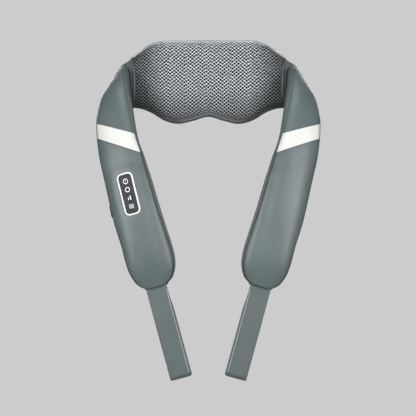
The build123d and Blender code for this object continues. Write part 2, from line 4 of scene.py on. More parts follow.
import bpy
import numpy as np
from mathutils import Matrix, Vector

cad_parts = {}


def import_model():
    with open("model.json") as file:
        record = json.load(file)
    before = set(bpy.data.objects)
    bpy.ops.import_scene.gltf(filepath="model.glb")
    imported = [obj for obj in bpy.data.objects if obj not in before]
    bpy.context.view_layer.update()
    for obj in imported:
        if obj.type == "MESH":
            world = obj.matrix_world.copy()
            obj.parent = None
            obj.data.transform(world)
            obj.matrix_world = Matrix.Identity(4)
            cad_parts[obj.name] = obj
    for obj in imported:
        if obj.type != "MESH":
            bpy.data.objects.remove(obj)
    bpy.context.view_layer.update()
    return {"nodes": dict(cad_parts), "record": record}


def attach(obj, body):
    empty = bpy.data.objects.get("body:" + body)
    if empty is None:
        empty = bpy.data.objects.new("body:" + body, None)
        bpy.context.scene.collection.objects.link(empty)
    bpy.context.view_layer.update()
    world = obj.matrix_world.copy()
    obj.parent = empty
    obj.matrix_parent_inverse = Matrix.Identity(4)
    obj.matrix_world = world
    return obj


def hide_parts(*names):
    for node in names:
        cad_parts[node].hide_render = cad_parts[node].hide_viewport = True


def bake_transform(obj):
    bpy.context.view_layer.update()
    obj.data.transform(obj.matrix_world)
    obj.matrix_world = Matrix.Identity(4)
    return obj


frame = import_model()

MM = 0.001
SIDES = {"left": 1, "right": -1}      # everything is drawn on the left (-X), and mirrored


# ------------------------ small helpers

def smooth_step(x, low, high):
    """0 below low, 1 above high, and a smooth rise between."""
    t = np.clip((x - low) / (high - low), 0, 1)
    return t * t * (3 - 2 * t)


def unit(v):
    """Vectors of length 1, along the last axis."""
    return v / np.linalg.norm(v, axis=-1, keepdims=True)


def hermite(knots, values, at):
    """Smooth curve through values at increasing knots, for an array of places."""
    knots, values, at = np.asarray(knots, float), np.asarray(values, float), np.asarray(at, float)
    slopes = np.gradient(values, knots, axis=0)
    k = np.clip(np.searchsorted(knots, at, side="right") - 1, 0, len(knots) - 2)
    gap = knots[k + 1] - knots[k]
    t = (at - knots[k]) / gap
    extra = (1,) * (values.ndim - 1)
    t, gap = t.reshape(t.shape + extra), gap.reshape(gap.shape + extra)
    a, b = values[k], values[k + 1]
    ma, mb = slopes[k] * gap, slopes[k + 1] * gap
    return ((2 * t**3 - 3 * t**2 + 1) * a + (t**3 - 2 * t**2 + t) * ma
            + (3 * t**2 - 2 * t**3) * b + (t**3 - t**2) * mb)


def grid_faces(rows, columns, wrap=False):
    """Quads of a grid of rows x columns points, its columns joined end to end if wrap."""
    steps = columns if wrap else columns - 1
    row, column = np.meshgrid(np.arange(rows - 1), np.arange(steps), indexing="ij")
    here, beside = row * columns + column, row * columns + (column + 1) % columns
    return np.stack([here, beside, beside + columns, here + columns], -1).reshape(-1, 4)


def tube_faces(rings, sides, closed=False):
    """Faces of a stack of rings, with a cap on each end unless it is closed."""
    faces = grid_faces(rings, sides, wrap=True).tolist()
    if not closed:
        last = (rings - 1) * sides
        faces += [list(range(sides))[::-1], list(range(last, last + sides))]
    return faces


def add_mesh(name, points, faces, material, mirrored=False):
    """Mesh object from points in millimetres, smooth shaded, mirrored in X if asked."""
    points = np.array(points, float).reshape(-1, 3) * MM
    faces = [list(f) for f in faces]
    if mirrored:
        points[:, 0] *= -1
        faces = [f[::-1] for f in faces]
    mesh = bpy.data.meshes.new(name)
    mesh.from_pydata(points.tolist(), [], faces)
    mesh.materials.append(material)
    mesh.validate()
    mesh.polygons.foreach_set("use_smooth", [True] * len(mesh.polygons))
    mesh.update()
    obj = bpy.data.objects.new(name, mesh)
    bpy.context.collection.objects.link(obj)
    return obj


class Parts:
    """Collects points and faces of several small shapes for one mesh."""

    def __init__(self):
        self.points, self.faces, self.count = [], [], 0

    def add(self, points, faces):
        points = np.asarray(points, float).reshape(-1, 3)
        self.points.append(points)
        self.faces.extend((np.asarray(f) + self.count).tolist() for f in faces)
        self.count += len(points)

    def build(self, name, material, mirrored=False):
        return add_mesh(name, np.concatenate(self.points), self.faces, material, mirrored)


def tube(parts, line, radius, sides=10, closed=False):
    """Round cord along a line of points, joined end to end if closed."""
    line = np.asarray(line, float)
    ahead = np.roll(line, -1, 0) - np.roll(line, 1, 0)
    if not closed:
        ahead[0], ahead[-1] = line[1] - line[0], line[-1] - line[-2]
    ahead = unit(ahead)
    angle = np.linspace(0, 2 * math.pi, sides, endpoint=False)[:, None]
    side = np.cross(ahead[0], [0.3, 0.5, 0.8])    # any direction across the cord does
    rings = []
    for point, direction in zip(line, ahead):
        side = unit(side - direction * side.dot(direction))
        up = np.cross(direction, side)
        rings.append(point + radius * (np.cos(angle) * side + np.sin(angle) * up))
    if closed:
        rings.append(rings[0])
    parts.add(np.array(rings), tube_faces(len(rings), sides, closed))


DIRECTION_REACH = 0.3                  # the direction of a line is taken this far each way


def resample(line, pitch):
    """Evenly spaced points along a line, and the directions there."""
    line = np.asarray(line, float)
    steps = np.linalg.norm(np.diff(line, axis=0), axis=1)
    run = np.concatenate([[0], np.cumsum(steps)])
    count = max(int(run[-1] / pitch), 2)
    at = (np.arange(count) + 0.5) * run[-1] / count

    def point_at(where):
        return np.stack([np.interp(where, run, line[:, k]) for k in range(3)], 1)

    return point_at(at), unit(point_at(at + DIRECTION_REACH) - point_at(at - DIRECTION_REACH))


STITCH_PITCH, STITCH_LENGTH, STITCH_RADIUS = 3.4, 2.5, 0.28
STITCH_FORM = ((-1, 0.35), (-0.75, 0.85), (0, 1), (0.75, 0.85), (1, 0.35))   # place, thickness
STITCH_SIDES = 6
STITCH_SINK = 0.35                     # how far the ends dip into the leather


def stitches(parts, line, out, lift=0.05):
    """Row of stitches along a line of points; out holds the surface normals along it."""
    line, out = np.asarray(line, float), np.asarray(out, float)
    spots, along = resample(line, STITCH_PITCH)
    angle = np.linspace(0, 2 * math.pi, STITCH_SIDES, endpoint=False)[:, None]
    for spot, direction in zip(spots, along):
        near = int(np.argmin(np.linalg.norm(line - spot, axis=1)))
        up = unit(out[near] - direction * out[near].dot(direction))
        across = np.cross(direction, up)
        around = np.cos(angle) * across + np.sin(angle) * up
        rings = []
        for share, size in STITCH_FORM:
            height = lift - STITCH_SINK * share**4
            middle = spot + direction * share * STITCH_LENGTH / 2 + up * height
            rings.append(middle + STITCH_RADIUS * size * around)
        parts.add(np.array(rings), tube_faces(len(rings), STITCH_SIDES))


# ------------------------ materials

MATERIALS = {}


def new_material(name):
    """New node material: its tree, its shader and the object's coordinates."""
    material = bpy.data.materials.new(name)
    material.use_nodes = True
    MATERIALS[name] = material
    tree = material.node_tree
    place = tree.nodes.new("ShaderNodeTexCoord").outputs["Object"]
    return tree, tree.nodes["Principled BSDF"], place


def feed(tree, socket, value):
    """Give a socket a number, a colour or the value of another socket."""
    if isinstance(value, bpy.types.NodeSocket):
        tree.links.new(value, socket)
    elif isinstance(value, tuple):
        socket.default_value = (*value, 1)
    else:
        socket.default_value = value


def texture(tree, kind, place, **inputs):
    node = tree.nodes.new(kind)
    tree.links.new(place, node.inputs["Vector"])
    for key, value in inputs.items():
        node.inputs[key].default_value = value
    return node


def scaled(tree, socket, low, high, start=0.0, end=1.0):
    """Map a value between start and end on to the range low to high."""
    node = tree.nodes.new("ShaderNodeMapRange")
    limits = {"From Min": start, "From Max": end, "To Min": low, "To Max": high}
    for key, value in limits.items():
        node.inputs[key].default_value = value
    tree.links.new(socket, node.inputs["Value"])
    return node.outputs["Result"]


def mixed(tree, share, dark, light, blend="MIX"):
    """Colour between dark and light. All three may be constants or sockets."""
    node = tree.nodes.new("ShaderNodeMix")
    node.data_type = "RGBA"
    node.blend_type = blend
    colours = [socket for socket in node.inputs if socket.type == "RGBA"]
    for socket, value in zip([node.inputs["Factor"], *colours], (share, dark, light)):
        feed(tree, socket, value)
    return next(socket for socket in node.outputs if socket.type == "RGBA")


def maths(tree, operation, *values):
    node = tree.nodes.new("ShaderNodeMath")
    node.operation = operation
    for socket, value in zip(node.inputs, values):
        feed(tree, socket, value)
    return node.outputs[0]


def split_axes(tree, place):
    """The X, Y and Z of a coordinate, by name."""
    split = tree.nodes.new("ShaderNodeSeparateXYZ")
    tree.links.new(place, split.inputs[0])
    return split.outputs


def bumped(tree, shader, height, strength, distance, under=None):
    node = tree.nodes.new("ShaderNodeBump")
    node.inputs["Strength"].default_value = strength
    node.inputs["Distance"].default_value = distance
    tree.links.new(height, node.inputs["Height"])
    if under:
        tree.links.new(under, node.inputs["Normal"])
    tree.links.new(node.outputs["Normal"], shader.inputs["Normal"])
    return node.outputs["Normal"]


def tint(colour, factor):
    return tuple(min(c * factor, 1) for c in colour)


def leather(name, colour, rough=0.42, grain=950, depth=0.00012):
    """Faux leather: pebbled grain with darker valleys, and uneven dye."""
    tree, shader, place = new_material(name)
    pebbles = texture(tree, "ShaderNodeTexVoronoi", place, Scale=grain)
    pebbles.feature = "DISTANCE_TO_EDGE"
    fine = texture(tree, "ShaderNodeTexNoise", place, Scale=grain * 2.4, Detail=3.0)
    dye = texture(tree, "ShaderNodeTexNoise", place, Scale=22.0, Detail=4.0)
    patches = scaled(tree, dye.outputs[0], 0, 1, 0.3, 0.7)
    base = mixed(tree, patches, tint(colour, 0.93), tint(colour, 1.06))
    valleys = scaled(tree, pebbles.outputs["Distance"], 0.82, 1.0, 0.0, 0.12)
    feed(tree, shader.inputs["Base Color"], mixed(tree, 1.0, base, valleys, "MULTIPLY"))
    gloss = scaled(tree, fine.outputs[0], rough - 0.05, rough + 0.08)
    feed(tree, shader.inputs["Roughness"], gloss)
    height = scaled(tree, pebbles.outputs["Distance"], 0, 1, 0.0, 0.35)
    grain_bump = bumped(tree, shader, height, 0.35, depth)
    bumped(tree, shader, fine.outputs[0], 0.12, depth * 0.6, under=grain_bump)
    shader.inputs["Specular IOR Level"].default_value = 0.5


# Painted shade on the mesh threads: darker towards the pillow's two ends and its lower edge
SHADE_START, SHADE_END = 0.060, 0.112          # metres from the middle, along the pillow
SHADE_LOW, SHADE_HIGH = -0.062, -0.012         # metres of height
SHADE_COLOUR = (0.02, 0.022, 0.025)


def painted_shade(tree, place, base):
    """Painted shade that deepens towards the pillow's two ends and its lower edge."""
    axes = split_axes(tree, place)
    away = maths(tree, "ABSOLUTE", axes["X"])
    ends = scaled(tree, away, 1.0, 0.10, SHADE_START, SHADE_END)
    under = scaled(tree, axes["Z"], 0.35, 1.0, SHADE_LOW, SHADE_HIGH)
    return mixed(tree, maths(tree, "MULTIPLY", ends, under), SHADE_COLOUR, base)


def thread(name, colour, rough=0.6, twist=1400, sheen=0.25, shade=False):
    """Twisted yarn: slanted strands with lighter and darker fibres."""
    tree, shader, place = new_material(name)
    strands = texture(tree, "ShaderNodeTexWave", place, Scale=twist, Distortion=1.5, Detail=2.0)
    strands.bands_direction = "DIAGONAL"
    fibre = texture(tree, "ShaderNodeTexNoise", place, Scale=twist * 1.6, Detail=3.0)
    fibres = scaled(tree, fibre.outputs[0], 0, 1, 0.3, 0.7)
    base = mixed(tree, fibres, tint(colour, 0.82), tint(colour, 1.12))
    # painted shade on the threads towards the pillow's ends and lower edge
    if shade:
        base = painted_shade(tree, place, base)
    feed(tree, shader.inputs["Base Color"], base)
    feed(tree, shader.inputs["Roughness"], scaled(tree, fibre.outputs[0], rough - 0.08, rough + 0.1))
    bumped(tree, shader, strands.outputs[1], 0.3, 0.0001)
    shader.inputs["Sheen Weight"].default_value = sheen


def plastic(name, colour, rough=0.45, depth=0.00003, shine=0.5):
    """Moulded plastic: fine spark texture, and flow marks in the gloss."""
    tree, shader, place = new_material(name)
    spark = texture(tree, "ShaderNodeTexNoise", place, Scale=1800.0, Detail=2.0)
    flow = texture(tree, "ShaderNodeTexNoise", place, Scale=35.0, Detail=3.0)
    base = mixed(tree, flow.outputs[0], tint(colour, 0.92), tint(colour, 1.08))
    feed(tree, shader.inputs["Base Color"], base)
    feed(tree, shader.inputs["Roughness"], scaled(tree, flow.outputs[0], rough * 0.85, rough * 1.15))
    bumped(tree, shader, spark.outputs[0], 0.15, depth)
    shader.inputs["Specular IOR Level"].default_value = shine


def metal(name, colour, rough=0.3, stretch=(1, 1, 1)):
    """Machined metal: fine tool lines and a slightly uneven gloss."""
    tree, shader, place = new_material(name)
    mapping = tree.nodes.new("ShaderNodeMapping")
    mapping.inputs["Scale"].default_value = stretch
    tree.links.new(place, mapping.inputs["Vector"])
    lines = texture(tree, "ShaderNodeTexNoise", mapping.outputs["Vector"], Scale=1500.0, Detail=4.0)
    base = mixed(tree, lines.outputs[0], tint(colour, 0.85), tint(colour, 1.1))
    feed(tree, shader.inputs["Base Color"], base)
    feed(tree, shader.inputs["Roughness"], scaled(tree, lines.outputs[0], rough * 0.8, rough * 1.3))
    bumped(tree, shader, lines.outputs[0], 0.1, 0.00003)
    shader.inputs["Metallic"].default_value = 1.0


GREY = (0.087, 0.112, 0.115)
leather("grey_leather", GREY, rough=0.41)
leather("dark_leather", tint(GREY, 0.7), rough=0.45)
# Near-black copy of the grey leather for the welts: it paints the shade along the arms' edges
leather("edge_shade_leather", tint(GREY, 0.28), rough=0.5)
leather("white_leather", (0.64, 0.64, 0.605), rough=0.4, depth=0.00006)
# Paler leather that paints light: the light on the pillow's top rim and the highlight down each hand loop
leather("painted_light_leather", (0.27, 0.30, 0.33), rough=0.45)
leather("strap_leather", tint(GREY, 0.78), rough=0.5, grain=1100)
thread("mesh_thread", (0.86, 0.92, 0.97), shade=True)
thread("mesh_lining", (0.012, 0.013, 0.015), rough=0.9, sheen=0.0)
thread("sewing_thread", tint(GREY, 1.1), twist=2500)
thread("foam", (0.05, 0.05, 0.055), rough=0.95, twist=600)
plastic("black_plastic", (0.02, 0.02, 0.022))
plastic("gloss_black", (0.016, 0.017, 0.020), depth=0.000004, shine=0.25)
plastic("white_plastic", (0.85, 0.86, 0.85), rough=0.3, depth=0.00001)
plastic("icon_white", (0.85, 0.87, 0.88), rough=0.35, depth=0.000004)
plastic("table_plastic", (0.04, 0.04, 0.045))
plastic("head_plastic", (0.32, 0.06, 0.045), rough=0.5)
plastic("gear_plastic", (0.75, 0.72, 0.62), rough=0.5)
plastic("battery_wrap", (0.03, 0.09, 0.28), rough=0.3)
plastic("circuit_board", (0.01, 0.12, 0.05), rough=0.35)
plastic("heating_film", (0.55, 0.25, 0.03), rough=0.3)
plastic("ferrite", (0.06, 0.06, 0.065), rough=0.6)
metal("brass", (0.75, 0.55, 0.25))
metal("bronze", (0.5, 0.32, 0.18), rough=0.5)
metal("copper", (0.7, 0.3, 0.15), rough=0.4)
metal("steel", (0.6, 0.6, 0.6), stretch=(0.2, 1, 1))
metal("dark_steel", (0.25, 0.25, 0.26), rough=0.4)

# Slots of the record whose material has another name here
SLOT_MATERIALS = {
    "spacer_mesh": "mesh_thread", "webbing": "strap_leather",
    "gloss_black_plastic": "gloss_black", "button_plastic": "gloss_black",
    "stiffener_plastic": "black_plastic", "sintered_bronze": "bronze", "shaft_steel": "steel",
    "motor_steel": "steel", "screw_steel": "dark_steel", "copper_winding": "copper",
}
for row in frame["record"]["subparts"]:
    cad, slot = frame["nodes"][row["node"]], row["material_slot"]
    if not cad.material_slots:
        cad.data.materials.append(None)
    for place in cad.material_slots:
        place.material = MATERIALS[SLOT_MATERIALS.get(slot, slot)]


# ------------------------ the arm's form

# Left arm sections: outer edge, inner edge, thickness, rise of the front face. The first one lies
# inside the pillow's end, so that sections count from -1.
ARM_SECTIONS = [
    ((-98, 33, -40), (-98, 33, 38), 34, 13),
    ((-113.4, 32, -38), (-113.4, 32, 35), 32, 12),
    ((-130, 29, -41), (-125, 24, 24.5), 27, 14),
    ((-143, 13, -43), (-121, 3, 13), 24, 16),
    ((-154, -6, -47), (-117, -18, -7), 23, 17),
    ((-159, -20, -55), (-110.5, -43, -42), 23, 16),
    ((-160, -33, -67), (-102.5, -65.7, -82.8), 24, 14),
    ((-158.5, -46, -89), (-93, -81.9, -110.9), 25, 13),
    ((-154, -56, -119), (-87.5, -86, -128.8), 26, 13),
    ((-146, -65, -152), (-81.2, -89, -148.5), 27, 13.5),
    ((-133.5, -72, -206), (-69.5, -91, -187.6), 28, 14),
    ((-122.5, -78, -241), (-58.5, -88, -221.1), 28, 14),
    ((-115.5, -80, -266.7), (-50.6, -86, -246.4), 26, 13),
    ((-109, -80, -283), (-47.8, -84, -266), 21, 10.5),
    ((-99.3, -79, -296), (-51, -81, -283), 14, 7),
    ((-87.3, -80, -301.8), (-59.5, -80, -294.2), 8, 4),
]
BAND_TOP, BAND_BOTTOM, TIP = 5.0, 6.0, 14.0
SEAM_INSET = 1.4                       # from the arm's edge to the seam round its front
FRONT_SEAM, FRONT_SEAM_DROP = 0.16, 0.10    # height of that seam, and how much less below the band
BACK_SEAM = 0.2                        # depth of the back seam; all three are shares of thickness
FRONT_CROWN = (2.6, 0.62)              # fullness and roundness of a face between its seams
BACK_CROWN = (2.2, 0.9)
OUTER_PUFF, INNER_PUFF = 0.4, 0.5      # how far the sides stand out
LOWER_PUFF = 1.3                       # how much farther the inner one does, below the shoulder

KNOTS = np.arange(-1, len(ARM_SECTIONS) - 1)
FINE = np.linspace(-1, TIP, 1501)
OUTER_EDGE = hermite(KNOTS, [s[0] for s in ARM_SECTIONS], FINE)
INNER_EDGE = hermite(KNOTS, [s[1] for s in ARM_SECTIONS], FINE)
THICKNESS, RISE = hermite(KNOTS, [s[2:] for s in ARM_SECTIONS], FINE).T
CENTRE = (OUTER_EDGE + INNER_EDGE) / 2
HALF_WIDTH = np.linalg.norm(INNER_EDGE - OUTER_EDGE, axis=1) / 2
ACROSS = unit(INNER_EDGE - OUTER_EDGE)
NORMAL = unit(np.cross(unit(np.gradient(CENTRE, axis=0)), ACROSS))


def at_section(table, s):
    """Value of a fine table at fractional section numbers."""
    place = (np.asarray(s, float) + 1) / (TIP + 1) * (len(FINE) - 1)
    if table.ndim == 1:
        return np.interp(place, np.arange(len(FINE)), table)
    return np.stack([np.interp(place, np.arange(len(FINE)), table[:, k]) for k in range(3)], -1)


def section_point(s, table=CENTRE):
    return at_section(table, np.array([s]))[0]


def crown(t, fullness, roundness):
    """Height of a crowned face at t: 0 at its seams, where t is -1 and 1, and 1 in its middle."""
    return (1 - np.abs(t) ** fullness) ** roundness


def arm_surface(s, u, out=0.0):
    """Point of the arm's skin at section s. u runs round the section: front 0 to 1, inner side
    1 to 2, back 2 to 3, outer side 3 to 4. out lifts the point off the skin."""
    s, u = np.broadcast_arrays(np.asarray(s, float), np.asarray(u, float))
    half, thick, rise = (at_section(table, s) for table in (HALF_WIDTH, THICKNESS, RISE))
    edge = np.minimum(SEAM_INSET, 0.3 * half)
    flat = half - edge
    seam = (FRONT_SEAM - FRONT_SEAM_DROP * smooth_step(s, 4, 6.5)) * thick
    hem = BACK_SEAM * thick
    inner = u < 2.5

    t = np.clip(np.where(u < 1, 2 * u - 1, 5 - 2 * u), -1, 1)
    front_n = seam + (rise - seam) * crown(t, *FRONT_CROWN) + out
    back_n = -hem + (rise - thick + hem) * crown(t, *BACK_CROWN) - out

    v = np.clip(np.where(inner, u - 1, u - 3), 0, 1)
    puff = np.where(inner, INNER_PUFF + LOWER_PUFF * smooth_step(s, 2.5, 5), OUTER_PUFF)
    bulge = flat + (edge + out + puff) * np.sin(math.pi * v) ** 0.8
    side_w = np.where(inner, bulge, -bulge)
    turn = np.where(inner, 1, -1) * np.cos(math.pi * v)
    side_n = (seam - hem) / 2 + turn * ((seam + hem) / 2 + out * 0.5)

    on_front, on_back = u <= 1, (u >= 2) & (u <= 3)
    w = np.where(on_front | on_back, flat * t, side_w)
    n = np.where(on_front, front_n, np.where(on_back, back_n, side_n))
    centre, across, normal = (at_section(table, s) for table in (CENTRE, ACROSS, NORMAL))
    return centre + across * w[..., None] + normal * n[..., None]


EDGE_SEARCH, EDGE_HALVINGS = 1.2, 24   # sections searched each way, and steps of the search


def band_edge(u, section):
    """Section number where the skin at u crosses the straight edge line of the accent band.
    The line joins the section's two edges and the cut runs straight to the back."""
    a, b = at_section(OUTER_EDGE, section), at_section(INNER_EDGE, section)
    plane = np.cross(b - a, [0, 1, 0])
    low = np.full(np.shape(u), section - EDGE_SEARCH)
    high = np.full(np.shape(u), section + EDGE_SEARCH)
    start = np.sign((arm_surface(low, u) - a) @ plane)
    for _ in range(EDGE_HALVINGS):
        middle = (low + high) / 2
        same = np.sign((arm_surface(middle, u) - a) @ plane) == start
        low, high = np.where(same, middle, low), np.where(same, high, middle)
    return (low + high) / 2


def top_edge(u):
    return band_edge(u, BAND_TOP)


def bottom_edge(u):
    return band_edge(u, BAND_BOTTOM)


def section_numbers(line, us):
    """Section numbers of an edge line at each u. The line is a number or a function of u."""
    us = np.asarray(us, float)
    return line(us) if callable(line) else np.full(us.shape, float(line))


def surface_grid(first, last, us, rows, out=0.0):
    """Section numbers and points of a stretch of skin between two edge lines."""
    start, stop = section_numbers(first, us), section_numbers(last, us)
    s = start + (stop - start) * np.linspace(0, 1, rows)[:, None]
    return s, arm_surface(s, np.broadcast_to(us, s.shape), out)


def hold(piece, zone):
    """Keep a piece of an arm where it is when zone is shoulder or arm, or else attach it to the body
    called zone.
    """
    if zone == "shoulder":
        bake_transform(piece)
    elif zone == "arm":
        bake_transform(piece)
    else:
        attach(piece, zone)


# ------------------------ leather round the bezels

LIFT_SHARE = 0.45                      # how far slack leather is drawn up to a bezel's top
OPENING_DEPTH = 4.0                    # how deep the leather turns in beneath a bezel
SEAT_DEPTH = 14.0                      # leather farther from the bezel's plane stays as it is


def face_frame(node, outward):
    """Frame of a flat bezel: its middle, its axes across, up and out of it, its half sizes and
    the height of its top."""
    points = np.array([v.co for v in frame["nodes"][node].data.vertices]) / MM
    middle = points.mean(0)
    _, _, (up, _, out) = np.linalg.svd(points - middle, full_matrices=False)
    up, out = up * np.sign(up[2]), out * np.sign(out @ outward)
    across = np.cross(up, out)
    reach = np.abs((points - middle) @ np.array([across, up]).T).max(0)
    return middle, across, up, out, reach, ((points - middle) @ out).max()


def rounded_distance(x, y, half_x, half_y, corner):
    """Signed distance from a rounded rectangle, negative inside."""
    dx, dy = np.abs(x) - half_x + corner, np.abs(y) - half_y + corner
    return np.hypot(np.maximum(dx, 0), np.maximum(dy, 0)) + np.minimum(np.maximum(dx, dy), 0) - corner


def seat(points, face, corner, proud, spread):
    """Shape leather to lie just under a bezel's top, and open it beneath the bezel."""
    middle, across, up, out, half, top = face
    rel = points - middle
    x, y, z = rel @ across, rel @ up, rel @ out
    far = rounded_distance(x, y, *half, corner)
    level = top - proud - OPENING_DEPTH * smooth_step(-far, 0.3, 1.3)
    near = (1 - smooth_step(far, 0.8, spread)) * (np.abs(z) < SEAT_DEPTH)
    shift = level - z
    shift = np.where(shift > 0, LIFT_SHARE * shift, shift)
    return points + (near * shift)[..., None] * out


PANEL_FACE = face_frame("control_bezel", outward=(0, -1, 0))
PORT_FACE = face_frame("charging_port_bezel", outward=(-1, 0, 0))
PANEL_ACROSS, PANEL_UP, PANEL_OUT = PANEL_FACE[1:4]
PANEL_CORNER, PORT_CORNER = 7.0, 3.0


def seat_panel(points):
    return seat(points, PANEL_FACE, PANEL_CORNER, proud=1.0, spread=16)


def seat_port(points):
    return seat(points, PORT_FACE, PORT_CORNER, proud=0.5, spread=9)


# ------------------------ leather of the arms

EVEN = np.linspace(0, 1, 93)
FRONT_U = (1 - np.cos(math.pi * EVEN)) / 2 * 0.35 + EVEN * 0.65    # closer together at the seams
BACK_U = np.concatenate([np.linspace(1, 2, 13), np.linspace(2, 3, 61)[1:], np.linspace(3, 4, 17)[1:]])
START = -0.16                          # the arm's skins are sewn into the pillow's end here
HEM_TUCK = 1.6                         # how far the side edges of a skin turn in
BAND_LIFT = 0.25
WELT_RADIUS, TIP_WELT_RADIUS, WELT_LIFT = 1.15, 1.1, 0.15
STITCH_INSET = 0.045                   # from a seam to its stitches, as a share of the front
COLLAR_PLACE, COLLAR_RADIUS = 0.02, 2.0
LIP_LIFT, LIP_RADIUS = 0.1, 0.45


def arm_skin(side, name, first, last, us, rows, slot, zone, nodes, out=0.0, shape=None):
    """One leather skin between the edge lines first and last, its side edges tucked in."""
    s, points = surface_grid(first, last, us, rows, out)
    if shape:
        points = shape(points)
    facing = -1 if us[0] >= 1 else 1
    tucked = points[:, [0, -1]] - facing * HEM_TUCK * at_section(NORMAL, s)[:, [0, -1]]
    grid = np.concatenate([tucked[:, :1], points, tucked[:, 1:]], axis=1)
    skin = add_mesh(f"{side}_{name}", grid, grid_faces(*grid.shape[:2]), MATERIALS[slot], side == "right")
    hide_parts(*(f"{side}_{node}" for node in nodes))
    hold(skin, zone)
    return skin


def arm_skins(side):
    """Front panels, white band and back skins of one arm."""
    has_panel = side == "left"
    shoulder = arm_skin(side, "shoulder_panel", START, top_edge, FRONT_U, 90, "grey_leather",
                        "shoulder", ["shoulder_cover", "shoulder_foam"])
    arm_skin(side, "white_band", top_edge, bottom_edge, FRONT_U, 22, "white_leather",
             f"{side}_shoulder", ["accent_band"], out=BAND_LIFT)
    arm = arm_skin(side, "arm_panel", bottom_edge, TIP, FRONT_U, 280, "grey_leather", "arm",
                   ["arm_cover", "arm_foam"], shape=seat_panel if has_panel else None)
    arm_skin(side, "shoulder_back", START, bottom_edge, BACK_U, 100, "dark_leather", "shoulder",
             ["shoulder_lining"])
    arm_skin(side, "arm_back", bottom_edge, TIP, BACK_U, 280, "dark_leather", "arm",
             ["arm_lining"], shape=seat_port if has_panel else None)


def ring_round(section, count):
    """Closed line round the arm at a section."""
    return arm_surface(section, np.linspace(0, 4, count, endpoint=False))


def arm_seams(side):
    """Welts along both edges of the front and round the tip, and stitches beside the edges."""
    for zone, first, last in (("shoulder", START, bottom_edge), ("arm", bottom_edge, TIP)):
        outer_welt, inner_welt, seam = Parts(), Parts(), Parts()
        for welt, u, inset in ((outer_welt, 0.0, STITCH_INSET), (inner_welt, 1.0, -STITCH_INSET)):
            ends = section_numbers(first, [u])[0], section_numbers(last, [u])[0]
            s = np.linspace(*ends, 140)
            tube(welt, arm_surface(s, u) + WELT_LIFT * at_section(NORMAL, s), WELT_RADIUS, sides=8)
            sewn = s[4:-2]
            stitches(seam, arm_surface(sewn, u + inset), at_section(NORMAL, sewn))
        if zone == "arm":
            tube(outer_welt, ring_round(TIP, 60), TIP_WELT_RADIUS, sides=8, closed=True)
        # The dark welts paint the shade along the arm's edges; the shoulder's inner welt stays grey
        inner_leather = "grey_leather" if zone == "shoulder" else "edge_shade_leather"
        for parts, name, material in ((outer_welt, "outer_welt", "edge_shade_leather"),
                                      (inner_welt, "inner_welt", inner_leather),
                                      (seam, "stitches", "sewing_thread")):
            piece = parts.build(f"{side}_{zone}_{name}", MATERIALS[material], side == "right")
            hold(piece, zone)


def arm_collar(side):
    """Piping round the joint of arm and pillow."""
    parts = Parts()
    tube(parts, ring_round(COLLAR_PLACE, 90), COLLAR_RADIUS, closed=True)
    collar = parts.build(f"{side}_arm_collar", MATERIALS["dark_leather"], side == "right")
    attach(collar, "pillow")


def band_lips(side):
    """Folded leather edges above and below the white band."""
    parts = Parts()
    us = np.linspace(0.0, 1.0, 60)
    for edge in (top_edge, bottom_edge):
        tube(parts, arm_surface(edge(us), us, LIP_LIFT), LIP_RADIUS, sides=8)
    lips = parts.build(f"{side}_band_edges", MATERIALS["grey_leather"], side == "right")
    hold(lips, f"{side}_shoulder")


for side in SIDES:
    arm_skins(side)
    arm_seams(side)
    arm_collar(side)
    band_lips(side)


# ------------------------ pillow form

SEAM_Y = 28.0                          # where the mesh face is sewn to the leather back
# Pillow sections: distance from the middle, bottom, top, face and back of the section
PILLOW_SECTIONS = [
    (0, -50, 58.5, 0, 80),
    (23, -56, 58.5, -3, 80),
    (46, -60.5, 58.5, -6, 80),
    (68, -55, 57.5, -4, 78),
    (86, -44.5, 53, 3, 71),
    (101, -39.5, 44, 11, 59),
    (113, -38, 35.5, 16, 48),
]
PILLOW_END = 113.0
FRONT_CORNER, BACK_CORNER = (16, 0.36), (27, 0.52)   # largest radius, and its largest share of depth
FACE_CROWN = 3.0                       # how far the face swells between its corners
WHOLE_PILLOW = [(-s[0], *s[1:]) for s in reversed(PILLOW_SECTIONS[1:])] + PILLOW_SECTIONS


def pillow_outline(x, inset=0.0):
    """Front and back lines of the pillow's section at x, each from the bottom seam to the top seam.
    Arrays of (y, z) points."""
    places, sizes = [s[0] for s in WHOLE_PILLOW], [s[1:] for s in WHOLE_PILLOW]
    bottom, top, face, back = hermite(places, sizes, np.array([x]))[0]
    depth = back - face
    front_r, back_r = (min(most, share * depth) - inset for most, share in (FRONT_CORNER, BACK_CORNER))
    y0, y1, z0, z1 = face + inset, back - inset, bottom + inset, top - inset

    def arc(cy, cz, r, start, stop):
        angle = np.linspace(math.radians(start), math.radians(stop), 24)
        return np.stack([cy + r * np.cos(angle), cz + r * np.sin(angle)], 1)

    rise = np.linspace(0, 1, 40)[1:-1]
    face_line = np.stack([y0 - FACE_CROWN * np.sin(math.pi * rise),
                          z0 + front_r + (z1 - z0 - 2 * front_r) * rise], 1)
    front = np.concatenate([
        [[SEAM_Y, z0]], arc(y0 + front_r, z0 + front_r, front_r, -90, -180), face_line,
        arc(y0 + front_r, z1 - front_r, front_r, 180, 90), [[SEAM_Y, z1]]])
    rear = np.concatenate([
        [[SEAM_Y, z0]], arc(y1 - back_r, z0 + back_r, back_r, -90, 0),
        arc(y1 - back_r, z1 - back_r, back_r, 0, 90), [[SEAM_Y, z1]]])
    return front, rear


def lengths_along(line):
    """Length from the start of a line to each of its points."""
    return np.concatenate([[0], np.cumsum(np.linalg.norm(np.diff(line, axis=0), axis=1))])


def points_at(line, run, at):
    """Points of a line of (y, z) points at given lengths."""
    return np.stack([np.interp(at, run, line[:, k]) for k in range(2)], 1)


LENGTHS = np.arange(-95, 96, 1.0)      # up and down the face from mid height
COLUMNS = np.linspace(-PILLOW_END, PILLOW_END, 227)


